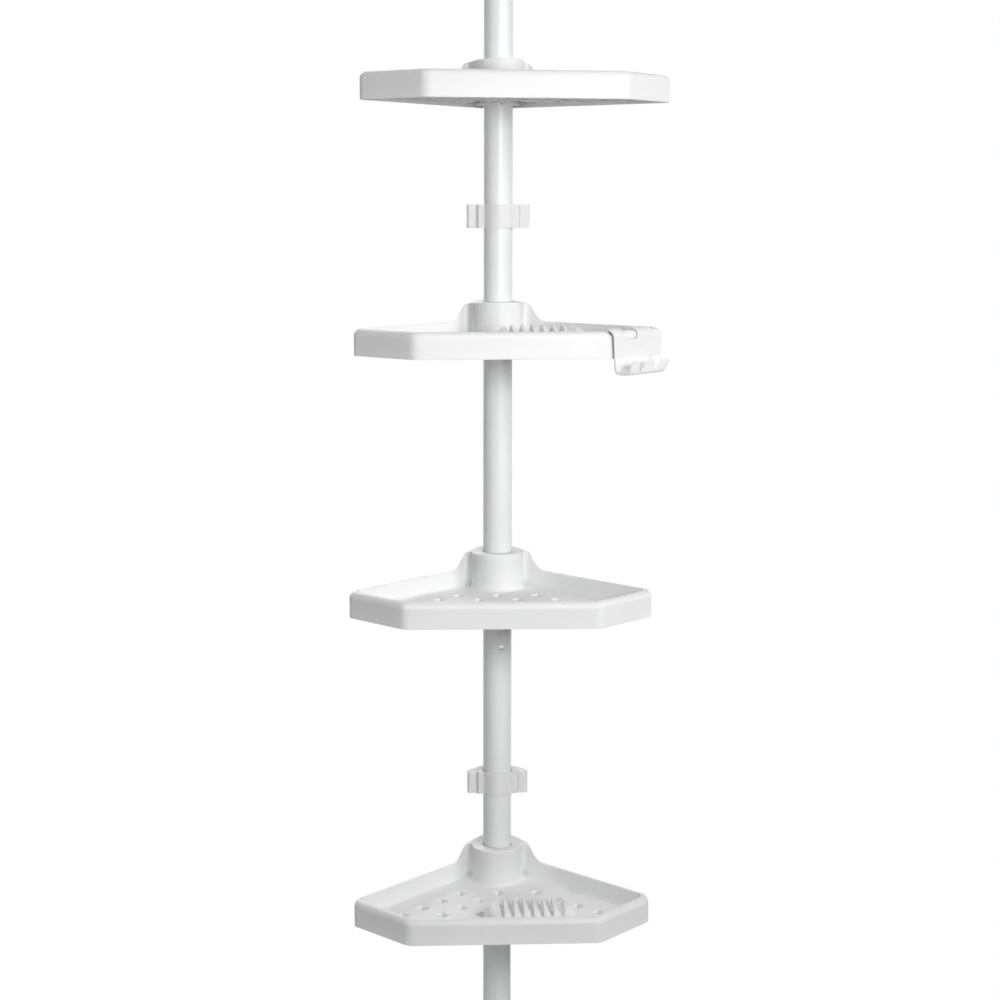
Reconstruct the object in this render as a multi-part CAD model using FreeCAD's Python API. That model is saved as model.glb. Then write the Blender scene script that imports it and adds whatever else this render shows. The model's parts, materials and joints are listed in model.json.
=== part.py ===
import FreeCAD, Part

import math
import os

# Corner tension pole with four shelves, in millimetres.
# Origin: centre of the lower foot's underside. +Z runs up the pole, +Y points into the
# corner of the room, and -Y towards the user.

V = FreeCAD.Vector
Z_AXIS = V(0, 0, 1)

# ---------------------------------------------------------------- driving dimensions

# Fits
slide_fit = 0.08          # radial clearance of a piece that slides or turns on the pole
seat_gap = 0.3            # gap under a loose piece that rests on another
tiny = 0.01               # tolerance when edges are looked up by their place
past = 1.0                # overrun of cutting tools past a face

# Main tubes
pole_d = 25.4
tube_wall = 1.0
section_length = 660.0
coupler_wall = 1.2
coupler_above = 60.0      # reach of the coupler into the upper tube
coupler_below = 95.0      # reach into the lower tube
rivet_below = 62.2        # rivet centre below the joint of the two tubes
rivet_d = 3.2
rivet_head_r = 2.4
rivet_head_h = 0.6
rivet_tail = 0.6          # rivet's inner end past the coupler's wall
rivet_angle = -73.0       # direction of the rivet round the pole, degrees from +X

# Telescoping top tube and its mouth ring
slim_gap = 1.0            # between the slim tube and the main tube's bore
slim_wall = 1.0
slim_length = 780.0
slim_in = 210.0           # length of the slim tube inside the main tube
mouth_ring_over = 1.8     # ring's outside past the main tube
mouth_ring_h = 9.0
mouth_ring_bevel = 1.5
mouth_plug_h = 16.0

# Tension mechanism inside the tubes
rod_d = 6.0
rod_bevel = 0.6
spring_wire = 2.4
spring_gap = 1.75         # between the coils and the main tube's bore
spring_turns = 7.0
spring_length = 90.0
lock_plug_h = 22.0
lock_groove_h = 6.6
lock_groove_depth = 1.5
lock_bevel = 1.0
lock_cam_h = 12.0
lock_cam_offset = 1.2
bush_h = 18.0
bush_flange_h = 3.0
stop_gap = 2.2            # between the stop washer and the slim tube's bore
stop_h = 3.0
rod_end = 1.0             # rod's end past the stop washer

# Feet
foot_d = 46.0
foot_pad_h = 6.0
foot_h = 34.0
foot_wall = 3.0
foot_waist_h = 9.0        # height of the flare between pad and socket
foot_bevel = 1.2
foot_grooves = 2          # round grooves in the sole
foot_groove_w = 2.4
foot_disc_h = 1.6

# Shelves
shelf_width = 255.2       # across the rounded side corners
shelf_front = 142.5       # pole axis to the front face
shelf_side = 6.4          # side face between its sharp corners
corner_reach = 38.0       # pole axis to the sharp rear corner
shelf_side_r = 7.0
shelf_front_r = 12.0
shelf_rear_r = 12.0
least_r = 1.0             # smallest rounding of an inner wall's corners
rim_h = 22.0
rim_w = 7.0
rim_round = 5.5
shelf_wall = 2.2
rear_wall = 2.6
edge_r = 0.8
floor_top = 6.6
floor_fillet = 3.4
tray_corner_r = 5.0
collar_join_r = 4.0       # between the collar and the rear walls
collar_over = 9.7         # pole's surface to the collar's outside
collar_h = 39.6
collar_edge_r = 1.2
rise_flat_x = 8.0         # half width of the crest's level part
rise_dome_r = 66.0
rise_shoulder = 5.1       # collar's side to where the dome turns over into the slope
rise_angle = 60.0         # slope of the rear wall's rise to the collar
rise_r_top = 3.5
rise_r_low = 9.0
rise_root = 3.0           # how far the raised part's block reaches down into the walls
pole_hole_gap = 0.5

# Drain holes: squares standing on a corner, in staggered rows
drain_side = 8.4
drain_bevel = 0.7
drain_pitch = 34.1
drain_first_row = 38.5    # pole axis to the first row
drain_margin = 8.6        # hole centre to the nearest wall
drain_skirt_w = 1.4
drain_skirt_low = 1.6     # skirts' lower ends above the shelf's lower edge

# Split sleeve inside each collar
sleeve_top_over = 3.1     # pole's surface to the sleeve's outside at its top
sleeve_low_over = 4.1     # and at its foot
sleeve_flange_over = 6.1
sleeve_flange_h = 2.4
sleeve_drop = 1.5         # sleeve's top below the collar's inner face
sleeve_low = 1.2          # sleeve underside above the shelf's lower edge
sleeve_split = 0.8
sleeve_key_w = 5.0
sleeve_key_h = 4.0
socket_wall = 2.0
socket_rib = 1.8
socket_rib_up = 3.0       # ribs' lower ends above the socket's
socket_ribs = 8

# Where each shelf stands: the lowest one's lower edge below the joint of the main tubes, the
# spacings from there up, and each shelf's turn about the pole, counted from the top.
low_shelf_drop = 287.6
shelf_spacings = [272.0, 221.5, 206.0]
shelf_turns = [9.4, 5.5, 1.8, 2.7]

# Pole clips: a wedge behind the pole and a strap across its front
clip_h = 20.1
clip_wing = 14.5          # pole's surface to the wing's end
clip_front = 6.5          # pole axis to the wedge's front face
clip_rear = 4.9           # pole's surface to the wedge's rear faces
clip_wall = 2.0
clip_tip = 1.6
clip_rear_r = 6.0
clip_turn = 3.0
strap_t = 1.8
strap_wing = 5.9          # pole's surface to the end of the strap's flange
strap_bevel = 1.44
upper_clip_rise = 102.9   # above the lower edge of the shelf below it
lower_clip_rise = 89.6

# Soap dishes, standing on the trays of two shelves
dish_x = 24.5
dish_front_gap = 2.5      # between a dish and the front rim
dish_depth = 48.0
dish_h = 19.2
dish_base = 2.4
dish_plan_r = 17.3
dish_foot_d = 5.0
dish_foot_h = 1.0
lobe_w = 14.8             # solid lobe at each end of the dish
lobe_drop = 2.2           # lobe's top below the ribs' crests
lobe_round = 10.0
rib_pitch = 8.4
rib_w = 6.3
rib_tip_w = 1.2           # flat crest along a rib's left flank
rib_slope_h = 7.5         # height that the right flank's slope takes
rib_count = 6
slot_margin = 0.1         # between a base slot and the ribs beside it
slot_length = 30.0

# Hook rack, hung over the right front rim of one shelf
rack_w = 54.0
rack_start = 2.6          # overhang past the shelf's front corner
rack_t = 1.6
rack_taper = 2.4          # how far each side leans in towards the trough
rack_leg = 9.0
rack_leg_inset = 9.0      # slant of the leg's end, clear of the tray's front corner
rack_notch_w = 19.0
rack_notch_shift = -3.0   # notch centre from the middle of the plate
rack_notch_z = 15.0
rack_notch_r = 4.5
rack_bend_z = -8.0        # centres of the trough's bends, from the shelf's lower edge
hook_count = 3
hook_pitch = 19.8
hook_base_w = 16.5        # across a hook where it leaves the trough
hook_w = 7.4              # across a hook's tip
hook_tip_r = 3.5          # rounding of the tip's corners
hook_r = 5.0              # outside radius of the trough's two bends
trough_flat = 6.0         # flat bottom between the bends
hook_lip = 8.8            # straight length of a hook's lip
hook_valley = 2.8         # height of the valleys between hooks above the trough's underside
hook_flare = 25.0         # degrees that a hook's lip leans outwards

# ---------------------------------------------------------------- derived values

pole_r = pole_d / 2
tube_bore = pole_r - tube_wall
slim_r = tube_bore - slim_gap
slim_bore = slim_r - slim_wall
coil_r = tube_bore - spring_gap - spring_wire / 2
bore_r = pole_r + slide_fit                     # bore of what slides on the pole
tube_bottom = foot_pad_h + foot_disc_h
joint_z = tube_bottom + section_length
mouth_z = joint_z + section_length
slim_z = mouth_z - slim_in
top_z = slim_z + slim_length + foot_disc_h + foot_pad_h
bush_top = slim_z - bush_flange_h + bush_h
rivet_z = joint_z - rivet_below
lock_top = slim_z - bush_flange_h - spring_length

low_to_top = [joint_z - low_shelf_drop + sum(shelf_spacings[:i]) for i in range(4)]
shelf_z = list(reversed(low_to_top))

root2 = math.sqrt(2)
side_x = shelf_width / 2
chamfer_k = shelf_width + shelf_side - corner_reach     # x - y on the right front face
collar_r = pole_r + collar_over
sleeve_top_r = pole_r + sleeve_top_over
sleeve_low_r = pole_r + sleeve_low_over
sleeve_flange_r = pole_r + sleeve_flange_over
sleeve_seat_z = sleeve_low + sleeve_flange_h
sleeve_top_z = collar_h - shelf_wall - sleeve_drop
dish_w = 2 * lobe_w + (rib_count + 1) * rib_pitch - rib_w
dish_y = rim_w + dish_front_gap + dish_depth / 2 - shelf_front
rack_face = chamfer_k / root2 + seat_gap        # pole axis to the back of the rack's plate
rack_left = (chamfer_k - 2 * shelf_front) / root2 - rack_start
rack_middle = rack_left + rack_w / 2
hook_lean = math.radians(hook_flare)
hook_tip_z = rack_bend_z - (hook_r - rack_t / 2) * math.sin(hook_lean) + hook_lip * math.cos(hook_lean)
trough_z = rack_bend_z - hook_r
trough_near = rack_face + hook_r                # pole axis to the two bends' centres
trough_far = trough_near + trough_flat
hook_reach = hook_r + hook_lip                  # beyond any hook's furthest point
rack_top = rim_h + seat_gap + rack_t


# ---------------------------------------------------------------- helpers

def tube(r_out, r_in, z0, z1):
    outer = Part.makeCylinder(r_out, z1 - z0, V(0, 0, z0))
    inner = Part.makeCylinder(r_in, z1 - z0 + 2 * past, V(0, 0, z0 - past))
    return outer.cut(inner)


def revolve(points):
    """Full turn of a closed (r, z) outline about the pole axis."""
    wire = Part.makePolygon([V(r, 0, z) for r, z in points + points[:1]])
    return Part.Face(wire).revolve(V(0, 0, 0), Z_AXIS, 360)


def prism(points, z0, z1):
    wire = Part.makePolygon([V(x, y, z0) for x, y in points + points[:1]])
    return Part.Face(wire).extrude(V(0, 0, z1 - z0))


def upright_edges(shape):
    found = []
    for edge in shape.Edges:
        box = edge.BoundBox
        if box.ZLength > tiny and box.XLength < tiny and box.YLength < tiny:
            found.append(edge)
    return found


def rounded_prism(points, radii, z0, z1):
    """Prism whose upright edges are rounded; radii follow the points, 0 leaves an edge."""
    solid = prism(points, z0, z1)
    for (x, y), radius in zip(points, radii):
        if radius > 0:
            near = [e for e in upright_edges(solid) if e.Vertexes[0].Point.distanceToPoint(
                V(x, y, e.Vertexes[0].Z)) < tiny]
            solid = solid.makeFillet(radius, near)
    return solid


def edges_at(shape, z):
    return [e for e in shape.Edges if abs(e.BoundBox.ZMin - z) < tiny and e.BoundBox.ZLength < tiny]


def placed(shape, turn, z):
    copy = shape.copy()
    copy.rotate(V(0, 0, 0), Z_AXIS, turn)
    copy.translate(V(0, 0, z))
    return copy


def single(shape):
    """The one solid of a boolean's result, with needless seams removed."""
    clean = shape.removeSplitter()
    return clean.Solids[0]


# ---------------------------------------------------------------- pole

def main_tube(z0):
    return tube(pole_r, tube_bore, z0, z0 + section_length)


def coupler():
    return tube(tube_bore - slide_fit / 2, tube_bore - coupler_wall,
                joint_z - coupler_below, joint_z + coupler_above)


def rivet_axis():
    return V(math.cos(math.radians(rivet_angle)), math.sin(math.radians(rivet_angle)), 0)


def rivet_at(distance):
    """Point on the rivet's axis at a distance from the pole's axis."""
    return rivet_axis() * distance + V(0, 0, rivet_z)


def rivet_hole():
    start = tube_bore - coupler_wall - past
    return Part.makeCylinder(rivet_d / 2, pole_r + past - start, rivet_at(start), rivet_axis())


def rivet():
    """Blind rivet with a low domed head, through the lower tube into the coupler."""
    tail = tube_bore - coupler_wall - rivet_tail
    shank = Part.makeCylinder(rivet_d / 2, pole_r - tail, rivet_at(tail), rivet_axis())
    dome_r = (rivet_head_r ** 2 + rivet_head_h ** 2) / (2 * rivet_head_h)
    ball = Part.makeSphere(dome_r, rivet_at(pole_r + rivet_head_h - dome_r))
    band = Part.makeCylinder(rivet_head_r, pole_r, rivet_at(pole_r / 2), rivet_axis())
    pole = Part.makeCylinder(pole_r, 4 * rivet_head_r, V(0, 0, rivet_z - 2 * rivet_head_r))
    return single(shank.fuse(ball.common(band).cut(pole)))


def lower_tube():
    return main_tube(tube_bottom).cut(rivet_hole())


def mouth_ring():
    """Plastic ring that plugs the main tube's mouth and guides the slim tube."""
    bore = slim_r + slide_fit
    plug_r = tube_bore - slide_fit / 2
    ring_r = pole_r + mouth_ring_over
    top = mouth_z + mouth_ring_h
    return revolve([(bore, mouth_z - mouth_plug_h), (plug_r, mouth_z - mouth_plug_h), (plug_r, mouth_z),
                    (ring_r, mouth_z), (ring_r, top - mouth_ring_bevel), (ring_r - mouth_ring_bevel, top),
                    (bore, top)])


def slim_tube():
    return tube(slim_r, slim_bore, slim_z, slim_z + slim_length)


# ---------------------------------------------------------------- tension mechanism

def lock_plug():
    """Nylon plug that grips the main tube once the cam beside it is twisted."""
    r = tube_bore - slide_fit
    body = Part.makeCylinder(r, lock_plug_h, V(0, 0, lock_top - lock_plug_h))
    body = body.makeChamfer(lock_bevel, edges_at(body, lock_top - lock_plug_h) + edges_at(body, lock_top))
    groove_z = lock_top - (lock_plug_h + lock_groove_h) / 2
    groove = tube(r + past, r - lock_groove_depth, groove_z, groove_z + lock_groove_h)
    rod_hole = Part.makeCylinder(rod_d / 2, lock_plug_h + 2 * past, V(0, 0, lock_top - lock_plug_h - past))
    return single(body.cut(groove).cut(rod_hole))


def lock_cam():
    """Eccentric disc on the rod's lower end."""
    z0 = lock_top - lock_plug_h - lock_cam_h
    disc = Part.makeCylinder(tube_bore - slide_fit - lock_cam_offset, lock_cam_h, V(lock_cam_offset, 0, z0))
    disc = disc.makeChamfer(lock_bevel, edges_at(disc, z0))
    return disc.cut(Part.makeCylinder(rod_d / 2, lock_cam_h + 2 * past, V(0, 0, z0 - past)))


def rod():
    z0 = lock_top - lock_plug_h - lock_cam_h
    z1 = bush_top + seat_gap + stop_h + rod_end
    body = Part.makeCylinder(rod_d / 2, z1 - z0, V(0, 0, z0))
    return body.makeChamfer(rod_bevel, edges_at(body, z0) + edges_at(body, z1))


def stop_washer():
    z0 = bush_top + seat_gap
    return tube(slim_bore - stop_gap, rod_d / 2, z0, z0 + stop_h)


def spring():
    """Compression spring round the rod, between the lock plug and the slim tube's bush."""
    lift = spring_wire / 2
    rise = spring_length - spring_wire
    helix = Part.makeHelix(rise / spring_turns, rise, coil_r)
    helix.translate(V(0, 0, lock_top + lift))
    circle = Part.Circle(V(coil_r, 0, lock_top + lift), V(0, 1, 0), spring_wire / 2)
    section = Part.Wire(circle.toShape())
    return Part.Wire(helix).makePipeShell([section], True, True)


def end_bush():
    """Plug in the slim tube's lower end, which rides on the rod and takes the spring."""
    z0 = slim_z - bush_flange_h
    r_in = rod_d / 2 + slide_fit
    return revolve([(r_in, z0), (slim_r, z0), (slim_r, slim_z), (slim_bore, slim_z),
                    (slim_bore, bush_top), (r_in, bush_top)])


# ---------------------------------------------------------------- feet

def foot_boot(tube_r):
    """Rubber boot, standing on z = 0: wide ribbed pad, flared waist and a socket for the tube."""
    neck_r = tube_r + foot_wall
    pad_r = foot_d / 2
    sole = [(0, 0)]
    for i in range(foot_grooves):
        r = pad_r * (i + 1) / (foot_grooves + 1)
        sole += [(r - foot_groove_w / 2, 0), (r, foot_groove_w / 2), (r + foot_groove_w / 2, 0)]
    return revolve(sole + [
        (pad_r - foot_bevel, 0), (pad_r, foot_bevel), (pad_r, foot_pad_h - foot_bevel),
        (pad_r - foot_bevel, foot_pad_h), (neck_r + foot_wall, foot_pad_h + foot_wall),
        (neck_r, foot_pad_h + foot_waist_h), (neck_r, foot_h - foot_bevel), (neck_r - foot_bevel, foot_h),
        (tube_r, foot_h), (tube_r, foot_pad_h), (0, foot_pad_h)])


def foot_disc(tube_r):
    """Steel disc under the tube's end, so that the tube can't cut through the rubber."""
    return Part.makeCylinder(tube_r - slide_fit, foot_disc_h, V(0, 0, foot_pad_h))


def at_ceiling(shape):
    turned = shape.copy()
    turned.rotate(V(0, 0, 0), V(1, 0, 0), 180)
    turned.translate(V(0, 0, top_z))
    return turned


# ---------------------------------------------------------------- shelves

def front_plan(inset, extra_r, z0, z1):
    """Prism of the shelf's front, chamfers and sides, carried straight back past the corner."""
    front = shelf_front - inset
    side = side_x - inset
    k = chamfer_k - inset * root2
    points = [(-side, corner_reach * 2), (-side, side - k), (front - k, -front),
              (k - front, -front), (side, side - k), (side, corner_reach * 2)]
    side_r = max(shelf_side_r - inset, least_r) + extra_r
    front_r = max(shelf_front_r - inset, least_r) + extra_r
    return rounded_prism(points, [0, side_r, front_r, front_r, side_r, 0], z0, z1)


def rear_plan(inset, extra_r, z0, z1):
    """Prism of the rear corner's two walls, carried straight forward past the front."""
    side = side_x - inset
    k = corner_reach - inset * root2
    far = -2 * shelf_front
    points = [(-side, far), (side, far), (side, k - side), (0, k), (-side, k - side)]
    side_r = max(shelf_side_r - inset, least_r) + extra_r
    rear_r = max(shelf_rear_r - inset, least_r)
    return rounded_prism(points, [0, 0, side_r, rear_r, side_r], z0, z1)


def rise_points():
    """Half of the raised outline as arcs and a line, each (x, drop below the crest) at its start,
    middle and end: dome, shoulder, slope and lower bend."""
    dome = math.asin((collar_r + rise_shoulder - rise_flat_x) / rise_dome_r)
    steep = math.radians(rise_angle)

    def bend(x, drop, radius, start, end):
        centre = x - radius * math.sin(start)
        base = drop - radius * (1 - math.cos(start))
        return [(centre + radius * math.sin(a), base + radius * (1 - math.cos(a)))
                for a in (start, (start + end) / 2, end)]

    upper = bend(rise_flat_x, 0, rise_dome_r, 0, dome)
    shoulder = bend(*upper[2], rise_r_top, dome, steep)
    x1, drop1 = shoulder[2]
    drop2 = collar_h - rim_h - rise_r_low * (1 - math.cos(steep))
    x2 = x1 + (drop2 - drop1) / math.tan(steep)
    x3 = x2 + rise_r_low * math.sin(steep)
    lower = [(x3 - rise_r_low * math.sin(a), collar_h - rim_h - rise_r_low * (1 - math.cos(a)))
             for a in (steep, steep / 2, 0)]
    return upper, shoulder, [(x1, drop1), (x2, drop2)], lower


def rise_profile(base_z, crest_z):
    """Raised outline across the collar, in the XZ plane: domed crest, then an S-slope each side."""
    foot = base_z - rise_root
    reach = rise_points()[-1][2][0]
    edges = [Part.LineSegment(V(-rise_flat_x, 0, crest_z), V(rise_flat_x, 0, crest_z)).toShape(),
             Part.LineSegment(V(-reach, 0, foot), V(reach, 0, foot)).toShape()]
    for sign in (1, -1):
        for points in rise_points():
            places = [V(sign * x, 0, crest_z - drop) for x, drop in points]
            curve = Part.Arc(*places) if len(places) == 3 else Part.LineSegment(*places)
            edges.append(curve.toShape())
        edges.append(Part.LineSegment(places[-1], V(sign * reach, 0, foot)).toShape())
    return Part.Face(Part.Wire(Part.__sortEdges__(edges)))


def shelf_block(inset, rounding):
    """Solid form of a shelf, without its tray. An inset moves every wall and top face inwards,
    and rounding softens the upper edge of the rear walls."""
    low = -past if inset else 0
    rim = rim_h - inset
    crest = collar_h - inset
    front = front_plan(inset, 0, low, rim)
    front = front.makeFillet(rim_round - inset, front_top_edges(front, rim))
    half = rise_points()[-1][2][0] + past
    behind = Part.makeBox(2 * half, 2 * collar_r + corner_reach, crest + past, V(-half, -2 * collar_r, 0))
    raised = rise_profile(rim, crest).extrude(V(0, collar_r + corner_reach, 0))
    raised.translate(V(0, -collar_r, 0))
    raised = raised.common(rear_plan(inset, 0, low, crest))
    rear = single(rear_plan(inset, 0, low, rim).fuse(raised))
    if rounding:
        rear = rear.makeFillet(rounding, rear_top_edges(rear, inset))
    return single(rear.common(front.fuse(behind)))


def front_top_edges(solid, z):
    """Top edges of the front, chamfers and sides, but not the one across the back."""
    return [e for e in edges_at(solid, z) if e.BoundBox.YMin < corner_reach * 2 - tiny]


def rear_top_edges(solid, inset):
    """Upper edge along both rear walls and round the corner between them."""
    wall = corner_reach - inset * root2
    found = []
    for edge in solid.Edges:
        mid = edge.valueAt((edge.FirstParameter + edge.LastParameter) / 2)
        on_wall = abs(abs(mid.x) + mid.y - wall) < tiny
        on_corner = edge.BoundBox.YMin > 0 and abs(mid.x) < tiny
        if mid.z > rim_h - inset - tiny and (on_wall or on_corner):
            found.append(edge)
    return found


def tray_space(grow):
    """Room inside the tray, from its floor up, with the collar left standing in it."""
    z0 = floor_top - grow
    z1 = collar_h + past
    side = side_x - rim_w + grow
    space = front_plan(rim_w - grow, tray_corner_r - least_r, z0, z1)
    space = space.common(rear_plan(rear_wall - grow, 0, z0, z1))
    r = collar_r - grow
    post = Part.makeCylinder(r, z1 - z0 + 2 * past, V(0, 0, z0 - past))
    web = Part.makeBox(2 * r, corner_reach, z1 - z0 + 2 * past, V(-r, 0, z0 - past))
    space = single(space.cut(post.fuse(web)))
    joins = [e for e in upright_edges(space) if abs(abs(e.Vertexes[0].X) - r) < tiny
             and e.Vertexes[0].Y > tiny]
    space = space.makeFillet(collar_join_r + grow, joins)
    corner_y = corner_reach - (rear_wall - grow) * root2 - side
    corners = [e for e in upright_edges(space) if abs(e.Vertexes[0].Y - corner_y) < tiny]
    space = space.makeFillet(tray_corner_r + grow, corners)
    return space.makeFillet(floor_fillet + grow, edges_at(space, z0))


def drain_places():
    """Centres of the drain holes: staggered rows, kept clear of every wall."""
    places = []
    step = drain_pitch / 2
    tray_k = chamfer_k - rim_w * root2
    rear_k = corner_reach - rear_wall * root2
    for row in range(-1, 9):
        y = -drain_first_row - row * step
        for column in range(-8, 9):
            x = column * step
            room = min(shelf_front - rim_w + y, (tray_k - abs(x) + y) / root2,
                       (rear_k - abs(x) - y) / root2, math.hypot(x, y) - collar_r)
            if (row + column) % 2 == 0 and room > drain_margin:
                places.append((x, y))
    return places


def at_each_drain(shape):
    """Copies of a shape at all the drain holes."""
    copies = []
    for x, y in drain_places():
        copy = shape.copy()
        copy.translate(V(x, y, 0))
        copies.append(copy)
    return copies


def drain_square(half, z):
    """Square that stands on a corner, half its diagonal given."""
    corners = [V(half, 0, z), V(0, half, z), V(-half, 0, z), V(0, -half, z)]
    return Part.makePolygon(corners + corners[:1])


def drain_skirt():
    """Short square skirt that hangs under the floor round a drain hole."""
    half = (drain_side + 2 * drain_skirt_w) / root2
    height = floor_top - shelf_wall / 2 - drain_skirt_low
    return Part.Face(drain_square(half, drain_skirt_low)).extrude(V(0, 0, height))


def drain_tool():
    """Cutter of a drain hole and its skirt's bore, with a bevel round the upper edge."""
    half = drain_side / root2
    low = drain_skirt_low - past
    shaft = Part.Face(drain_square(half, low)).extrude(V(0, 0, floor_top + past - low))
    bevel = Part.makeLoft([drain_square(half, floor_top - drain_bevel),
                           drain_square(half + 2 * drain_bevel, floor_top + drain_bevel)], True, True)
    return shaft.fuse(bevel)


def socket():
    """Tapered socket under the collar for the split sleeve, tied to the collar by ribs."""
    z0 = sleeve_seat_z + slide_fit
    z1 = collar_h - shelf_wall / 2
    outer = Part.makeCylinder(sleeve_low_r + socket_wall, z1 - z0, V(0, 0, z0))
    for i in range(socket_ribs):
        rib = Part.makeBox(collar_r - shelf_wall / 2, socket_rib, z1 - z0 - socket_rib_up,
                           V(0, -socket_rib / 2, z0 + socket_rib_up))
        rib.rotate(V(0, 0, 0), Z_AXIS, (i + 0.5) * 360 / socket_ribs)
        outer = outer.fuse(rib)
    return outer


def sleeve_cone(gap):
    """Cone of the sleeve's outside, widened by a gap."""
    height = sleeve_top_z - sleeve_seat_z
    slope = (sleeve_low_r - sleeve_top_r) / height
    extra = sleeve_flange_h
    return Part.makeCone(sleeve_low_r + gap + slope * extra, sleeve_top_r + gap, height + extra,
                         V(0, 0, sleeve_seat_z - extra))


def tray_mouth():
    """Sliver to take off the inner top edge of the front rim, to round it."""
    depth = 3 * edge_r
    corner_r = tray_corner_r - least_r
    opening = front_plan(rim_w, corner_r, 0, rim_h + past)
    ring = front_plan(rim_w - depth, corner_r, rim_h - depth, rim_h).cut(opening)
    edges = [e for e in edges_at(ring, rim_h)
             if e.distToShape(opening)[0] < tiny and e.BoundBox.YMin < corner_reach]
    sliver = ring.cut(ring.makeFillet(edge_r, edges))
    return sliver.common(rear_plan(rear_wall, 0, 0, rim_h + past))


def collar_rounding():
    """Tool that rounds the top edge round the front half of the collar."""
    r0 = collar_r - collar_edge_r
    z0 = collar_h - collar_edge_r
    bend = Part.Arc(V(collar_r, 0, z0), V(r0 + collar_edge_r / root2, 0, z0 + collar_edge_r / root2),
                    V(r0, 0, collar_h)).toShape()
    r1 = collar_r + past
    z1 = collar_h + past
    outer = Part.makePolygon([V(r0, 0, collar_h), V(r0, 0, z1), V(r1, 0, z1), V(r1, 0, z0),
                              V(collar_r, 0, z0)])
    face = Part.Face(Part.Wire([bend] + outer.Edges))
    return face.revolve(V(0, 0, 0), Z_AXIS, -180)


def shelf():
    """Moulded shelf: open tray with a rolled rim, hollow below, with a collar round the pole."""
    body = single(shelf_block(0, edge_r).cut(tray_space(0)))
    body = body.cut(tray_mouth()).cut(collar_rounding())
    body = body.cut(shelf_block(shelf_wall, 0).cut(tray_space(shelf_wall)))
    body = body.fuse(socket())
    body = body.cut(sleeve_cone(slide_fit))
    body = body.cut(Part.makeCylinder(pole_r + pole_hole_gap, collar_h + past))
    body = body.fuse(at_each_drain(drain_skirt()))
    return single(body.cut(Part.makeCompound(at_each_drain(drain_tool()))))


# ---------------------------------------------------------------- split sleeves

def sleeve_half(side):
    """One half of the tapered sleeve; side is +1 or -1 along X. A key half as thick as the wall
    fits a pocket in the other half's joint face."""
    reach = 2 * sleeve_flange_r
    body = revolve([(bore_r, sleeve_low), (sleeve_flange_r, sleeve_low), (sleeve_flange_r, sleeve_seat_z),
                    (sleeve_low_r, sleeve_seat_z), (sleeve_top_r, sleeve_top_z), (bore_r, sleeve_top_z)])
    keep = Part.makeBox(reach, 2 * reach, collar_h, V(sleeve_split / 2, -reach, 0))
    key_t = (sleeve_top_r - bore_r) / 2
    key_y = (bore_r + sleeve_top_r) / 2
    key_z = (sleeve_seat_z + sleeve_top_z + sleeve_key_h) / 2

    def block(y, grow):
        size = V(sleeve_key_w, key_t + 2 * grow, sleeve_key_h + 2 * grow)
        return Part.makeBox(size.x, size.y, size.z, V(0, y, key_z) - size / 2)

    half = single(body.common(keep.fuse(block(key_y, 0)).cut(block(-key_y, slide_fit))))
    if side < 0:
        half.rotate(V(0, 0, 0), Z_AXIS, 180)
    return half


# ---------------------------------------------------------------- pole clips

def clip_wedge():
    """Wedge behind the pole: flat wings in front, two rear faces at right angles, hollow below."""
    tip_y = -clip_front + clip_tip
    k = (pole_r + clip_rear) * root2

    def wedge(inset, z0, z1):
        kk = k - inset * root2
        half = pole_r + clip_wing - inset
        front = clip_front - inset
        inner = half - clip_tip
        points = [(-inner, -front), (inner, -front), (half, tip_y), (half, kk - half),
                  (0, kk), (-half, kk - half), (-half, tip_y)]
        return rounded_prism(points, [0, 0, 0, 0, clip_rear_r - inset, 0, 0], z0, z1)

    tall = clip_h + 2 * past

    def slot(half):
        """Upright slot from the pole's axis out through the front."""
        return Part.makeBox(2 * half, clip_front + past, tall, V(-half, -clip_front - past, -past))

    body = wedge(0, 0, clip_h)
    keep_r = bore_r + clip_wall
    hollow = wedge(clip_wall, -past, clip_h - clip_wall)
    hollow = hollow.cut(Part.makeCylinder(keep_r, tall, V(0, 0, -past))).cut(slot(keep_r))
    body = body.cut(hollow).cut(Part.makeCylinder(bore_r, tall, V(0, 0, -past)))
    return single(body.cut(slot(bore_r)))


def clip_strap():
    """Strap across the front of the pole, with a flat flange on each side."""
    arch_r = bore_r + strap_t
    half_w = pole_r + strap_wing
    face = clip_front + seat_gap / 2
    flange = prism([(-half_w, -face), (strap_bevel - half_w, -face - strap_t),
                    (half_w - strap_bevel, -face - strap_t), (half_w, -face)], 0, clip_h)
    arch = Part.makeCylinder(arch_r, clip_h)
    front_half = Part.makeBox(4 * arch_r, 2 * arch_r, clip_h, V(-2 * arch_r, -2 * arch_r - face, 0))
    body = flange.fuse(arch.common(front_half))
    return single(body.cut(Part.makeCylinder(bore_r, clip_h + 2 * past, V(0, 0, -past))))


# ---------------------------------------------------------------- soap dishes

def dish_outline(z0, z1):
    """Plan of a dish: straight front and back with round ends."""
    half_w = dish_w / 2
    half_d = dish_depth / 2
    points = [(-half_w, -half_d), (half_w, -half_d), (half_w, half_d), (-half_w, half_d)]
    return rounded_prism(points, [dish_plan_r] * 4, z0, z1)


def dish_dome():
    """Half-moon section along Y, drawn out along X."""
    half_d = dish_depth / 2
    across = V(0, half_d, 0)
    up = V(0, 0, dish_h)
    major, minor = (across, up) if half_d > dish_h else (up, across)
    moon = Part.Face(Part.Wire(Part.Ellipse(major, minor, V(0, 0, 0)).toShape()))
    moon.translate(V(-dish_w / 2, 0, 0))
    return moon.extrude(V(dish_w, 0, 0))


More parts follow.
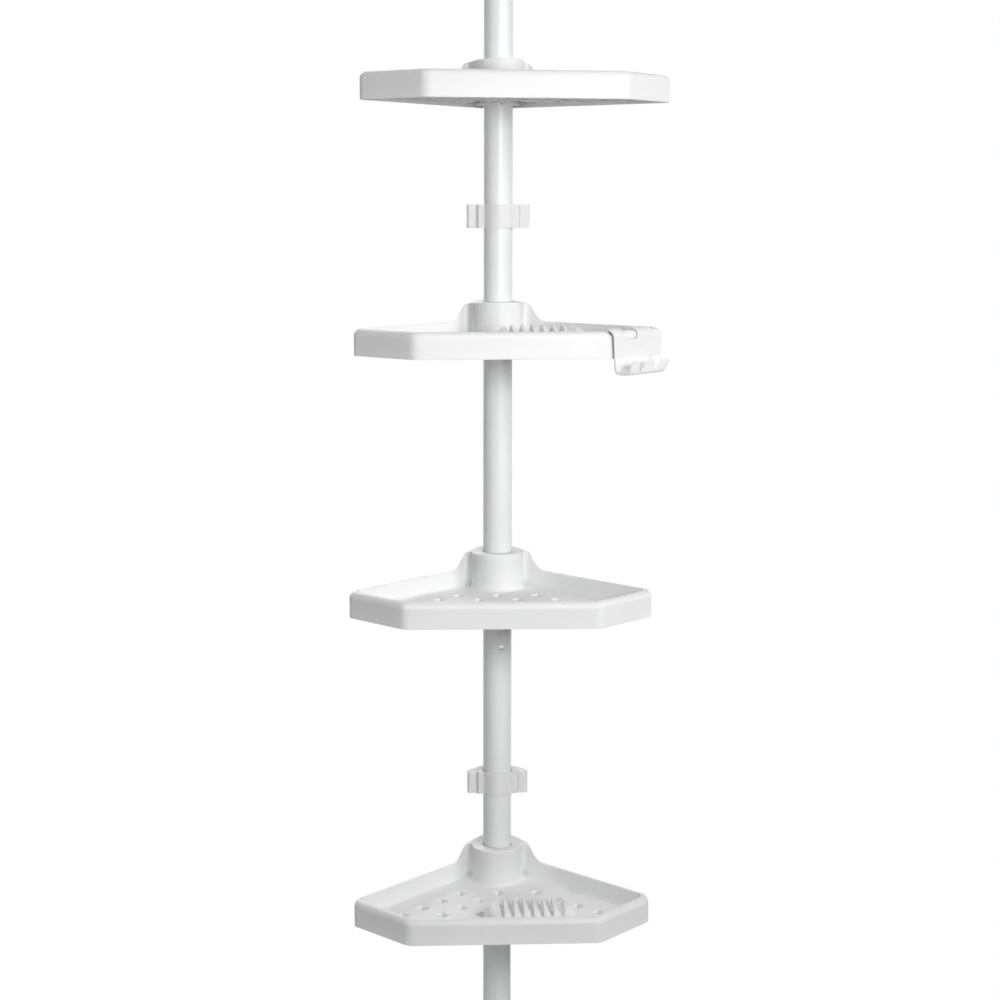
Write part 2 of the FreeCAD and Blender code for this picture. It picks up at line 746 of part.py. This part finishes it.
def dish_rib(x):
    """One rib: upright left flank, narrow crest, and a right flank that slopes near its top."""
    left = x - rib_w / 2
    right = x + rib_w / 2
    points = [V(left, 0, 0), V(right, 0, 0), V(right, 0, dish_h - rib_slope_h),
              V(left + rib_tip_w, 0, dish_h), V(left, 0, dish_h), V(left, 0, 0)]
    blade = Part.Face(Part.makePolygon(points)).extrude(V(0, dish_depth, 0))
    blade.translate(V(0, -dish_depth / 2, 0))
    return blade


def dish_lobes():
    """Solid ends of the dish, rounded down at their outer edges."""
    top_z = dish_h - lobe_drop
    block = Part.makeBox(dish_w, dish_depth, top_z, V(-dish_w / 2, -dish_depth / 2, 0))
    block = block.makeFillet(lobe_round, [e for e in edges_at(block, top_z) if e.BoundBox.XLength < tiny])
    middle_w = dish_w - 2 * lobe_w
    return block.cut(Part.makeBox(middle_w, dish_depth, dish_h, V(-middle_w / 2, -dish_depth / 2, 0)))


def soap_dish():
    """Soap dish on four feet: half-moon ribs between two solid end lobes, slotted base."""
    ribs = [dish_rib((i - (rib_count - 1) / 2) * rib_pitch) for i in range(rib_count)]
    upper = dish_dome().common(Part.makeCompound(ribs + dish_lobes().Solids))
    upper = upper.common(dish_outline(dish_foot_h, dish_h + past))
    body = dish_outline(dish_foot_h, dish_foot_h + dish_base).fuse(upper.Solids)
    slot_w = rib_pitch - rib_w - 2 * slot_margin
    for i in range(rib_count + 1):
        corner = V((i - rib_count / 2) * rib_pitch - slot_w / 2, -slot_length / 2, dish_foot_h - past)
        body = body.cut(Part.makeBox(slot_w, slot_length, dish_base + 2 * past, corner))
    for x in (-(dish_w - lobe_w) / 2, (dish_w - lobe_w) / 2):
        for y in (-dish_depth / 4, dish_depth / 4):
            body = body.fuse(Part.makeCylinder(dish_foot_d / 2, dish_foot_h + dish_base / 2, V(x, y, 0)))
    return single(body)


def dish_in_place():
    dish = soap_dish()
    dish.translate(V(dish_x, dish_y, floor_top + seat_gap))
    return dish


# ---------------------------------------------------------------- hook rack

def rack_section():
    """Section across the rim, at x = 0: leg inside the tray, bend over the rim, plate, trough
    and lip. Outwards is -Y."""
    leg = rack_face - rim_w - 2 * seat_gap
    rim_top = rim_h + seat_gap
    leg_low = rim_top - rack_leg
    bend_r = rim_round + seat_gap
    bend_out = rack_face - bend_r
    bend_z = rim_top - bend_r
    tip_out = trough_far + (hook_r - rack_t / 2) * math.cos(hook_lean) + hook_lip * math.sin(hook_lean)

    def at(out, z, radius=0.0, angle=0.0):
        return V(0, -out - radius * math.cos(angle), z + radius * math.sin(angle))

    def arc(out, z, radius, start, end):
        middle = (start + end) / 2
        places = [at(out, z, radius, a) for a in (start, middle, end)]
        return places[0], Part.Arc(*places).toShape(), places[2]

    curves = [arc(trough_near, rack_bend_z, hook_r, -math.pi, -math.pi / 2),
              arc(trough_far, rack_bend_z, hook_r, -math.pi / 2, -hook_lean),
              arc(tip_out, hook_tip_z, rack_t / 2, -hook_lean, math.pi - hook_lean),
              arc(trough_far, rack_bend_z, hook_r - rack_t, -hook_lean, -math.pi / 2),
              arc(trough_near, rack_bend_z, hook_r - rack_t, -math.pi / 2, -math.pi),
              arc(bend_out, bend_z, bend_r + rack_t, 0, math.pi / 2),
              arc(leg, rim_top, rack_t, math.pi / 2, math.pi)]
    inner = arc(bend_out, bend_z, bend_r, math.pi / 2, 0)
    leg_end = [curves[-1][2], at(leg - rack_t, leg_low), at(leg, leg_low), at(leg, rim_top), inner[0]]
    edges = [curve for start, curve, end in curves + [inner]]
    edges += [Part.LineSegment(a[2], b[0]).toShape() for a, b in zip(curves, curves[1:])]
    edges += [Part.LineSegment(a, b).toShape() for a, b in zip(leg_end, leg_end[1:])]
    edges.append(Part.LineSegment(inner[2], curves[0][0]).toShape())
    return Part.Face(Part.Wire(Part.__sortEdges__(edges)))


def rack_notch():
    """U-shaped notch through the bend, which splits it into two straps."""
    left = rack_middle + rack_notch_shift - rack_notch_w / 2
    notch = Part.makeBox(rack_notch_w, rack_face, rim_h, V(left, -rack_face - 2 * rack_t, rack_notch_z))
    low = [e for e in edges_at(notch, rack_notch_z) if e.BoundBox.XLength < tiny]
    return notch.makeFillet(rack_notch_r, low)


def rack_outline():
    """Front outline of the whole rack, tapering down to the trough, drawn out along Y."""
    half = rack_w / 2
    points = [V(rack_middle + x, -trough_far - hook_reach, z)
              for x, z in ((-half, rack_top), (half, rack_top), (half - rack_taper, trough_z),
                           (rack_taper - half, trough_z), (-half, rack_top))]
    return Part.Face(Part.makePolygon(points)).extrude(V(0, trough_far + hook_reach, 0))


def hook_outline(middle):
    """Front outline of one hook, wide at the trough and round at the tip, drawn out along Y."""
    valley = trough_z + hook_valley
    tip = hook_tip_z + rack_t / 2
    base = hook_base_w / 2
    top = hook_w / 2
    points = [V(middle + x, -trough_far - hook_reach, z)
              for x, z in ((-base, trough_z), (base, trough_z), (base, valley), (top, tip), (-top, tip),
                           (-base, valley), (-base, trough_z))]
    hook = Part.Face(Part.makePolygon(points)).extrude(V(0, hook_reach, 0))
    corners = [e for e in hook.Edges if e.BoundBox.YLength > tiny and abs(e.BoundBox.ZMin - tip) < tiny]
    return hook.makeFillet(hook_tip_r, corners)


def hook_rack():
    """Rack of hooks on one trough, bent over the rim of a shelf."""
    body = rack_section().extrude(V(rack_w, 0, 0))
    body.translate(V(rack_left, 0, 0))
    body = body.cut(rack_notch())
    leg = rack_face - rim_w - 2 * seat_gap
    far = leg - 2 * rack_leg_inset
    left = rack_left - past
    slant = prism([(left, -rack_face + rim_round), (rack_left + rack_leg_inset, -leg),
                   (rack_left + rack_leg_inset, -far), (left, -far)], 0, 2 * rim_h)
    body = body.cut(slant)
    behind = Part.makeBox(rack_w, trough_far, rack_top - trough_z, V(rack_left, -trough_far, trough_z))
    valley = Part.makeBox(rack_w, hook_reach, hook_valley, V(rack_left, -trough_far - hook_reach, trough_z))
    hooks = [hook_outline(rack_middle + (i - (hook_count - 1) / 2) * hook_pitch) for i in range(hook_count)]
    return single(body.common(rack_outline()).common(behind.fuse([valley] + hooks)))


# ---------------------------------------------------------------- assembly

def build():
    nodes = {}
    nodes["foot_boot"] = foot_boot(pole_r)
    nodes["foot_disc"] = foot_disc(pole_r)
    nodes["lower_tube"] = lower_tube()
    nodes["coupler_tube"] = coupler().cut(rivet_hole())
    nodes["coupler_rivet"] = rivet()
    nodes["upper_tube"] = main_tube(joint_z)
    nodes["mouth_ring"] = mouth_ring()
    nodes["slim_tube"] = slim_tube()
    nodes["lock_plug"] = lock_plug()
    nodes["lock_cam"] = lock_cam()
    nodes["spring_rod"] = rod()
    nodes["stop_washer"] = stop_washer()
    nodes["tension_spring"] = spring()
    nodes["end_bush"] = end_bush()
    nodes["ceiling_boot"] = at_ceiling(foot_boot(slim_r))
    nodes["ceiling_disc"] = at_ceiling(foot_disc(slim_r))
    one_shelf = shelf()
    right = sleeve_half(1)
    left = sleeve_half(-1)
    for i, (z, turn) in enumerate(zip(shelf_z, shelf_turns), 1):
        nodes[f"shelf_{i}"] = placed(one_shelf, turn, z)
        nodes[f"sleeve_{i}_right"] = placed(right, turn, z)
        nodes[f"sleeve_{i}_left"] = placed(left, turn, z)
    wedge = clip_wedge()
    strap = clip_strap()
    for name, i, rise in (("upper", 2, upper_clip_rise), ("lower", 4, lower_clip_rise)):
        nodes[f"clip_{name}_wedge"] = placed(wedge, clip_turn, shelf_z[i - 1] + rise)
        nodes[f"clip_{name}_strap"] = placed(strap, clip_turn, shelf_z[i - 1] + rise)
    dish = dish_in_place()
    for name, i in (("upper", 2), ("lower", 4)):
        nodes[f"soap_dish_{name}"] = placed(dish, shelf_turns[i - 1], shelf_z[i - 1])
    nodes["hook_rack"] = placed(hook_rack(), 45 + shelf_turns[1], shelf_z[1])
    return nodes


os.makedirs("parts", exist_ok=True)
for name, shape in build().items():
    solids = shape.Solids
    print(f"{name:20s} solids {len(solids)} valid {shape.isValid()} volume {shape.Volume / 1000:.2f} cm3")
    shape.exportStep(f"parts/{name}.step")
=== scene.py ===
"""Finishes, ribbed soap dishes, studio and camera for the corner tension pole with four shelves."""
import json
import math

import bmesh
import bpy
from mathutils import Euler, Matrix, Vector

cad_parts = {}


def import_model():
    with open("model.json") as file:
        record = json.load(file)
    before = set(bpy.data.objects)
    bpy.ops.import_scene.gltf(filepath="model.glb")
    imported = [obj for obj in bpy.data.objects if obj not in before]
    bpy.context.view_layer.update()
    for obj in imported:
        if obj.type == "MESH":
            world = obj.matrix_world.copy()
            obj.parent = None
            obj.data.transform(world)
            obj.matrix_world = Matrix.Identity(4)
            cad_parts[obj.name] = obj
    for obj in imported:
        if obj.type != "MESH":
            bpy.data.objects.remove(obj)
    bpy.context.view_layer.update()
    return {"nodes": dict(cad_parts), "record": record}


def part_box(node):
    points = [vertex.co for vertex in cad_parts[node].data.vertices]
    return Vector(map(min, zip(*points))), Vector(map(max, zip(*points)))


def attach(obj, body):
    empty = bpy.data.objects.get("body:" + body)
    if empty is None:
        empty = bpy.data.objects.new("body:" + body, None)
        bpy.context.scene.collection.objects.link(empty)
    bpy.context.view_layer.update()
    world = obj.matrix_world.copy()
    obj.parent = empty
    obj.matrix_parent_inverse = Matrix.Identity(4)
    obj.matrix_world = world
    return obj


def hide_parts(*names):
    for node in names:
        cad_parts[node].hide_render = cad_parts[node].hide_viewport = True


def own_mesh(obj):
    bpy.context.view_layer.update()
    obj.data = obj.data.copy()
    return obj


# ---------------------------------------------------------------- named values
# Lengths and places are in metres.

# Camera
IMAGE_PX = 1000
SENSOR = 36.0             # millimetres
FOCAL_PX = 1893.06        # focal length in pixels of the image
CAMERA_AT = Vector((0.00221, -1.66121, 0.99672))
CAMERA_TILT = 8.88        # degrees below level
CAMERA_ROLL = 0.087       # degrees
CAMERA_REACH = 20

# Floor
FLOOR_FRONT = -2.6
FLOOR_BACK = 0.58         # the floor ends here, below what the camera sees
FLOOR_HALF = 2.2

# Light
LAMP_AIM = Vector((0.0, -0.05, 0.85))     # every lamp points here
LAMPS = (                 # name, place, width and height, power, spread in degrees
    ("key", (0.5, -1.2, 1.08), (0.3, 0.3), 2.9, 100),
    ("side", (1.3, -0.8, 1.4), (0.6, 0.6), 9.5, 180),
    ("fill", (-1.6, -1.9, 1.3), (1.2, 1.6), 11.0, 180),
    ("overhead", (0.0, -0.6, 3.2), (3.0, 3.0), 18.0, 180),
    ("back", (-0.8, 2.0, 1.5), (1.6, 1.6), 22.0, 180),
)
AMBIENT = 0.02            # sky light on the object
BACKDROP = 1.0            # sky that the camera and reflections see; 1 is white

# Materials
NOISE_LOW = 0.3           # most values of a noise lie between these two
NOISE_HIGH = 0.7
PLASTIC_DEPTH = 0.006     # how far light spreads inside the moulded plastic
DISH_DEPTH = 0.012        # the same, in the soap dishes
# Painted shade: ambient occlusion darkens the white plastic's colour in its holes and tight corners
PAINTED_SHADE_REACH = 0.007      # how far a hollow's walls are looked for
PAINTED_SHADE_SAMPLES = 8
PAINTED_SHADE_FULL = 0.38      # openness at which the painted shade is at its full
PAINTED_SHADE_END = 0.56        # openness at which it ends
PAINTED_SHADE_KEEP = 0.3         # share of its colour that a surface keeps under full painted shade

# Soap dishes: half-moon ribs over a lower core, between two rounded lobes
DISH_TURNS = {"soap_dish_upper": 5.5, "soap_dish_lower": 2.7}      # degrees about Z
DISH_W = 0.0821
DISH_D = 0.048
DISH_H = 0.0192
DISH_BASE_TOP = 0.0034
DISH_PLAN_R = 0.0173      # rounding of the base plate's corners
DISH_SHARP = 50           # degrees above which an edge isn't shaded smooth
FOOT_H = 0.001
FOOT_R = 0.0025
FOOT_SEGMENTS = 24
LOBE_W = 0.0148
LOBE_H = 0.017
LOBE_POWER = 2.1          # 2 is an ellipse; more is squarer
LOBE_FLANGE = 0.0015      # base plate beyond a lobe's end
LOBE_STEPS = 12
LOBE_SHORT = 0.3          # share of a step by which the last one stops short of the tip
RIB_COUNT = 6
RIB_PITCH = 0.0084
RIB_W = 0.0063
RIB_CREST = 0.0012        # level crest beside a rib's left flank
RIB_SLOPE_H = 0.0075      # height that the slope beside the crest takes
RIB_SLOPE_AT = (0.0, 0.3, 0.6)     # sections on the slope, as shares of its width
RIB_INSET = 0.00012       # first inset of a rib's rounding
RIB_EDGE = (              # rounding of a rib's flanks: inset, share from core to rib
    (0.0, 0.0), (RIB_INSET, 0.72), (0.0003, 0.92), (0.0006, 1.0),
)
CORE_D = 0.0436
CORE_H = 0.0132
CREST_ROUND = 0.0005
SECTION_STEPS = 30
PLATE_SHARE = 0.99        # most of a section's height that its base plate takes
WELD = 1e-6               # points closer than this become one


# ---------------------------------------------------------------- helpers

def new_object(name, data):
    """An object with this data, in the scene."""
    item = bpy.data.objects.new(name, data)
    bpy.context.scene.collection.objects.link(item)
    return item


def new_material(name):
    """A material with one Principled shader; returns it with its nodes, links and shader."""
    material = bpy.data.materials.new(name)
    material.use_nodes = True
    tree = material.node_tree
    return material, tree.nodes, tree.links, tree.nodes["Principled BSDF"]


def coordinates(nodes, links, scale=(1, 1, 1)):
    """Object coordinates, scaled apart along X, Y and Z."""
    texture = nodes.new("ShaderNodeTexCoord")
    mapping = nodes.new("ShaderNodeMapping")
    mapping.inputs["Scale"].default_value = scale
    links.new(texture.outputs["Object"], mapping.inputs["Vector"])
    return mapping.outputs["Vector"]


def noise(nodes, links, vector, scale, detail, roughness=0.5):
    node = nodes.new("ShaderNodeTexNoise")
    node.inputs["Scale"].default_value = scale
    node.inputs["Detail"].default_value = detail
    node.inputs["Roughness"].default_value = roughness
    links.new(vector, node.inputs["Vector"])
    return node.outputs["Fac"]


def two_tone(nodes, links, factor, dark, pale):
    """A colour that goes from dark to pale over the range of a noise."""
    ramp = nodes.new("ShaderNodeValToRGB")
    first, last = ramp.color_ramp.elements
    first.position, first.color = NOISE_LOW, (*dark, 1)
    last.position, last.color = NOISE_HIGH, (*pale, 1)
    links.new(factor, ramp.inputs["Fac"])
    return ramp.outputs["Color"]


def map_range(nodes, links, value, low, high, start=NOISE_LOW, end=NOISE_HIGH):
    """Low to high, as a value goes from start to end."""
    node = nodes.new("ShaderNodeMapRange")
    node.inputs["From Min"].default_value = start
    node.inputs["From Max"].default_value = end
    node.inputs["To Min"].default_value = low
    node.inputs["To Max"].default_value = high
    links.new(value, node.inputs["Value"])
    return node.outputs["Result"]


def painted_hollow_shade(nodes, links, colour):
    """A colour darkened in tight corners and holes by ambient occlusion: painted shade."""
    # Painted shade: the ambient occlusion value darkens the colour where nearby walls close in
    hollow = nodes.new("ShaderNodeAmbientOcclusion")
    hollow.samples = PAINTED_SHADE_SAMPLES
    hollow.inputs["Distance"].default_value = PAINTED_SHADE_REACH
    shade_kept = map_range(nodes, links, hollow.outputs["AO"], low=PAINTED_SHADE_KEEP, high=1.0,
                     start=PAINTED_SHADE_FULL, end=PAINTED_SHADE_END)
    mix = nodes.new("ShaderNodeMix")
    mix.data_type = "RGBA"
    mix.blend_type = "MULTIPLY"
    mix.inputs["Factor"].default_value = 1.0
    links.new(colour, mix.inputs["A"])
    links.new(shade_kept, mix.inputs["B"])
    return mix.outputs["Result"]


def bump(nodes, links, shader, height, distance, strength):
    node = nodes.new("ShaderNodeBump")
    node.inputs["Strength"].default_value = strength
    node.inputs["Distance"].default_value = distance
    links.new(height, node.inputs["Height"])
    links.new(node.outputs["Normal"], shader.inputs["Normal"])


# ---------------------------------------------------------------- materials

def moulded_plastic(name, depth, shade_hollows):
    """White polypropylene: soft gloss, faint flow marks and a fine moulded skin.

    depth is how far light spreads inside it; the last argument says whether its tight corners and
    holes get painted shade.
    """
    material, nodes, links, shader = new_material(name)
    vector = coordinates(nodes, links)
    cloud = noise(nodes, links, vector, scale=9, detail=4)
    tint = two_tone(nodes, links, cloud, dark=(0.815, 0.82, 0.822), pale=(0.86, 0.862, 0.86))
    # Painted shade: ambient occlusion darkens the colour in tight corners and holes
    if shade_hollows:
        tint = painted_hollow_shade(nodes, links, tint)
    links.new(tint, shader.inputs["Base Color"])
    patch = noise(nodes, links, vector, scale=34, detail=5, roughness=0.6)
    links.new(map_range(nodes, links, patch, low=0.44, high=0.54), shader.inputs["Roughness"])
    grain = noise(nodes, links, vector, scale=1900, detail=2)
    bump(nodes, links, shader, grain, distance=0.00002, strength=0.35)
    shader.inputs["Specular IOR Level"].default_value = 0.42
    shader.inputs["Subsurface Weight"].default_value = 0.6
    shader.inputs["Subsurface Radius"].default_value = (1.0, 1.0, 0.95)
    shader.inputs["Subsurface Scale"].default_value = depth
    return material


def enamelled_tube():
    """White enamel on a drawn steel tube: smooth, with faint marks along the length."""
    material, nodes, links, shader = new_material("tube_enamel")
    along = coordinates(nodes, links, scale=(60, 60, 2.5))
    streak = noise(nodes, links, along, scale=3, detail=4, roughness=0.55)
    tint = two_tone(nodes, links, streak, dark=(0.78, 0.79, 0.795), pale=(0.825, 0.83, 0.832))
    links.new(tint, shader.inputs["Base Color"])
    links.new(map_range(nodes, links, streak, low=0.36, high=0.46), shader.inputs["Roughness"])
    peel = noise(nodes, links, coordinates(nodes, links), scale=420, detail=2)
    bump(nodes, links, shader, peel, distance=0.00003, strength=0.3)
    shader.inputs["Coat Weight"].default_value = 0.25
    shader.inputs["Coat Roughness"].default_value = 0.34
    return material


def foot_rubber():
    """Pale grey rubber, matte, with a powdery bloom."""
    material, nodes, links, shader = new_material("foot_rubber")
    vector = coordinates(nodes, links)
    bloom = noise(nodes, links, vector, scale=45, detail=6, roughness=0.65)
    tint = two_tone(nodes, links, bloom, dark=(0.60, 0.60, 0.585), pale=(0.68, 0.68, 0.665))
    links.new(tint, shader.inputs["Base Color"])
    links.new(map_range(nodes, links, bloom, low=0.62, high=0.8), shader.inputs["Roughness"])
    grain = noise(nodes, links, vector, scale=1400, detail=3)
    bump(nodes, links, shader, grain, distance=0.00006, strength=0.5)
    shader.inputs["Sheen Weight"].default_value = 0.1
    return material


def plain_steel():
    """Zinc-plated steel with brush marks along Z."""
    material, nodes, links, shader = new_material("plain_steel")
    along = coordinates(nodes, links, scale=(700, 700, 12))
    brushed = noise(nodes, links, along, scale=2, detail=3)
    tint = two_tone(nodes, links, brushed, dark=(0.50, 0.51, 0.53), pale=(0.64, 0.65, 0.66))
    links.new(tint, shader.inputs["Base Color"])
    links.new(map_range(nodes, links, brushed, low=0.26, high=0.42), shader.inputs["Roughness"])
    bump(nodes, links, shader, brushed, distance=0.00002, strength=0.4)
    shader.inputs["Metallic"].default_value = 1.0
    return material


def natural_nylon():
    """Undyed nylon: cream, with a soft gloss and a fine moulded skin."""
    material, nodes, links, shader = new_material("nylon")
    vector = coordinates(nodes, links)
    cloud = noise(nodes, links, vector, scale=60, detail=4)
    tint = two_tone(nodes, links, cloud, dark=(0.66, 0.655, 0.62), pale=(0.74, 0.735, 0.70))
    links.new(tint, shader.inputs["Base Color"])
    links.new(map_range(nodes, links, cloud, low=0.38, high=0.5), shader.inputs["Roughness"])
    grain = noise(nodes, links, vector, scale=1200, detail=2)
    bump(nodes, links, shader, grain, distance=0.00003, strength=0.4)
    shader.inputs["Subsurface Weight"].default_value = 0.15
    shader.inputs["Subsurface Radius"].default_value = (0.003, 0.003, 0.002)
    return material


def floor_material():
    """Plain pale floor without gloss."""
    material, nodes, links, shader = new_material("floor")
    cloud = noise(nodes, links, coordinates(nodes, links), scale=3, detail=5)
    tint = two_tone(nodes, links, cloud, dark=(0.87, 0.87, 0.87), pale=(0.90, 0.90, 0.90))
    links.new(tint, shader.inputs["Base Color"])
    shader.inputs["Roughness"].default_value = 0.8
    return material


# ---------------------------------------------------------------- soap dishes

def plan_half(x):
    """Half depth of a dish's base plate at x, with its rounded corners."""
    past = abs(x) - (DISH_W / 2 - DISH_PLAN_R)
    if past <= 0:
        return DISH_D / 2
    return DISH_D / 2 - DISH_PLAN_R + math.sqrt(max(DISH_PLAN_R ** 2 - past ** 2, 0.0))


def soft_min(a, b):
    """The lower of two heights, rounded where they meet."""
    least = min(a, b)
    return least - CREST_ROUND * math.log(1 + math.exp((least - max(a, b)) / CREST_ROUND))


def dish_section(x, half, height, top):
    """Points across a dish at x: base plate, then a half-moon cut off at top.

    half and height are the half-moon's half depth and its full height.
    """
    plate = plan_half(x)
    half = min(half, plate)
    start = math.asin(min(DISH_BASE_TOP / height, PLATE_SHARE))
    points = [(x, -plate, FOOT_H), (x, -plate, DISH_BASE_TOP)]
    for step in range(SECTION_STEPS + 1):
        angle = math.pi - start - (math.pi - 2 * start) * step / SECTION_STEPS
        z = soft_min(height * math.sin(angle), top)
        points.append((x, half * math.cos(angle), max(z, DISH_BASE_TOP)))
    return points + [(x, plate, DISH_BASE_TOP), (x, plate, FOOT_H)]


def rib_section(x, share, top):
    """Section between the core, at share 0, and a rib, at share 1."""
    def mixed(core, rib):
        return core + (rib - core) * share
    return dish_section(x, mixed(CORE_D, DISH_D) / 2, mixed(CORE_H, DISH_H), mixed(CORE_H, top))


def rib_sections(left):
    """A rib from its upright left flank over the crest and down the slope on its right."""
    right = left + RIB_W
    crest_end = left + RIB_CREST

    def top(x):
        return DISH_H - RIB_SLOPE_H * max(0.0, (x - crest_end) / (right - crest_end))
    stations = [(left + inset, share) for inset, share in RIB_EDGE]
    stations += [(crest_end + (right - crest_end) * part, 1.0) for part in RIB_SLOPE_AT]
    stations += [(right - inset, share) for inset, share in reversed(RIB_EDGE)]
    return [rib_section(x, share, top(x)) for x, share in stations]


def lobe_sections(side):
    """Sections of the rounded lobe at one end, from left to right; side is -1 or +1."""
    inner = DISH_W / 2 - LOBE_W
    sections = [rib_section(side * inner, 0.0, DISH_H)]
    for step in range(1, LOBE_STEPS + 1):
        part = math.sin(math.pi / 2 * step / (LOBE_STEPS + LOBE_SHORT))
        size = (1 - part ** LOBE_POWER) ** (1 / LOBE_POWER)
        reach = inner + RIB_INSET + (LOBE_W - LOBE_FLANGE - RIB_INSET) * part
        height = DISH_BASE_TOP + (LOBE_H - DISH_BASE_TOP) * size + CREST_ROUND
        sections.append(dish_section(side * reach, DISH_D / 2 * size, height, LOBE_H))
    flat = DISH_BASE_TOP + CREST_ROUND
    sections.append(dish_section(side * DISH_W / 2, CREST_ROUND, flat, LOBE_H))
    return sections if side > 0 else sections[::-1]


def dish_mesh():
    """Closed mesh of a dish, centred on the origin and standing on z = 0."""
    sections = lobe_sections(-1)
    for index in range(RIB_COUNT):
        sections += rib_sections((index - (RIB_COUNT - 1) / 2) * RIB_PITCH - RIB_W / 2)
    sections += lobe_sections(1)
    work = bmesh.new()
    rows = [[work.verts.new(point) for point in section] for section in sections]
    for row, following in zip(rows, rows[1:]):
        for index in range(len(row)):
            beyond = (index + 1) % len(row)
            work.faces.new((row[index], row[beyond], following[beyond], following[index]))
    work.faces.new(rows[0])
    work.faces.new(rows[-1])
    for x in (-(DISH_W - LOBE_W) / 2, (DISH_W - LOBE_W) / 2):
        for y in (-DISH_D / 4, DISH_D / 4):
            bmesh.ops.create_cone(work, cap_ends=True, segments=FOOT_SEGMENTS, radius1=FOOT_R,
                                  radius2=FOOT_R, depth=FOOT_H,
                                  matrix=Matrix.Translation((x, y, FOOT_H / 2)))
    bmesh.ops.remove_doubles(work, verts=work.verts, dist=WELD)
    bmesh.ops.recalc_face_normals(work, faces=work.faces)
    mesh = bpy.data.meshes.new("soap_dish")
    work.to_mesh(mesh)
    work.free()
    mesh.polygons.foreach_set("use_smooth", [True] * len(mesh.polygons))
    mesh.set_sharp_from_angle(angle=math.radians(DISH_SHARP))
    return mesh


def soap_dishes(finish):
    """A dish with rounded ribs in place of each CAD dish, standing where that one stands."""
    mesh = dish_mesh()
    mesh.materials.append(finish)
    for node, turn in DISH_TURNS.items():
        low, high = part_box(node)
        piece = new_object(node + "_ribbed", mesh.copy())
        piece.location = ((low[0] + high[0]) / 2, (low[1] + high[1]) / 2, low[2])
        piece.rotation_euler = (0, 0, math.radians(turn))
        bpy.context.view_layer.update()
        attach(piece, node)
        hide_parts(node)


# ---------------------------------------------------------------- spring

def spring_coils(frame):
    """The tension spring, as a copy that moves with the adjuster in place of the CAD spring."""
    spring = frame["nodes"]["tension_spring"]
    piece = new_object("tension_spring_coils", spring.data.copy())
    piece.matrix_world = spring.matrix_world.copy()
    bpy.context.view_layer.update()
    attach(piece, "adjuster")
    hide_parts("tension_spring")
    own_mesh(piece)


# ---------------------------------------------------------------- studio

def area_light(name, place, size, power, spread):
    """A rectangular lamp that points at LAMP_AIM."""
    data = bpy.data.lights.new(name, "AREA")
    data.shape = "RECTANGLE"
    data.size, data.size_y = size
    data.energy = power
    data.spread = math.radians(spread)
    light = new_object(name, data)
    light.location = place
    light.rotation_euler = (LAMP_AIM - light.location).to_track_quat("-Z", "Y").to_euler()


def sky(nodes, strength):
    """White sky of one strength."""
    node = nodes.new("ShaderNodeBackground")
    node.inputs["Color"].default_value = (1, 1, 1, 1)
    node.inputs["Strength"].default_value = strength
    return node.outputs["Background"]


def white_world():
    """Faint even sky light on the object; the camera and reflections see plain white."""
    world = bpy.data.worlds.new("studio")
    world.use_nodes = True
    nodes, links = world.node_tree.nodes, world.node_tree.links
    nodes.clear()
    path = nodes.new("ShaderNodeLightPath")
    shown = path.outputs["Is Camera Ray"]
    for kind in ("Is Transmission Ray", "Is Glossy Ray"):
        either = nodes.new("ShaderNodeMath")
        either.operation = "MAXIMUM"
        links.new(shown, either.inputs[0])
        links.new(path.outputs[kind], either.inputs[1])
        shown = either.outputs["Value"]
    mix = nodes.new("ShaderNodeMixShader")
    links.new(shown, mix.inputs["Fac"])
    links.new(sky(nodes, AMBIENT), mix.inputs[1])
    links.new(sky(nodes, BACKDROP), mix.inputs[2])
    output = nodes.new("ShaderNodeOutputWorld")
    links.new(mix.outputs["Shader"], output.inputs["Surface"])
    bpy.context.scene.world = world


def floor():
    """A floor under the unit, which isn't part of it."""
    mesh = bpy.data.meshes.new("floor")
    corners = [(-FLOOR_HALF, FLOOR_FRONT, 0), (FLOOR_HALF, FLOOR_FRONT, 0),
               (FLOOR_HALF, FLOOR_BACK, 0), (-FLOOR_HALF, FLOOR_BACK, 0)]
    mesh.from_pydata(corners, [], [(0, 1, 2, 3)])
    mesh.materials.append(floor_material())
    new_object("floor", mesh)


def camera():
    """The camera in front of the unit, a little above its middle, looking slightly down."""
    data = bpy.data.cameras.new("camera")
    data.sensor_width = SENSOR
    data.lens = FOCAL_PX / IMAGE_PX * SENSOR
    data.clip_end = CAMERA_REACH
    eye = new_object("camera", data)
    eye.location = CAMERA_AT
    look = Euler((math.radians(90 - CAMERA_TILT), 0, 0)).to_matrix()
    roll = Euler((0, 0, math.radians(CAMERA_ROLL))).to_matrix()
    eye.rotation_euler = (look @ roll).to_euler()
    bpy.context.scene.camera = eye


# ---------------------------------------------------------------- dressing

def dress(frame):
    """Each CAD node gets the finish of its own material slot."""
    finishes = {
        # The white plastic gets painted shade in its holes and tight corners
        "white_plastic": moulded_plastic("white_plastic", PLASTIC_DEPTH, shade_hollows=True),
        "tube_enamel": enamelled_tube(),
        "foot_rubber": foot_rubber(),
        "plain_steel": plain_steel(),
        "nylon": natural_nylon(),
    }
    for part in frame["record"]["subparts"]:
        mesh = frame["nodes"][part["node"]].data
        mesh.materials.clear()
        mesh.materials.append(finishes[part["material_slot"]])


def main():
    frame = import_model()
    dress(frame)
    soap_dishes(moulded_plastic("dish_plastic", DISH_DEPTH, shade_hollows=False))
    spring_coils(frame)
    floor()
    white_world()
    for lamp in LAMPS:
        area_light(*lamp)
    camera()
    bpy.context.scene.view_settings.view_transform = "Standard"


main()
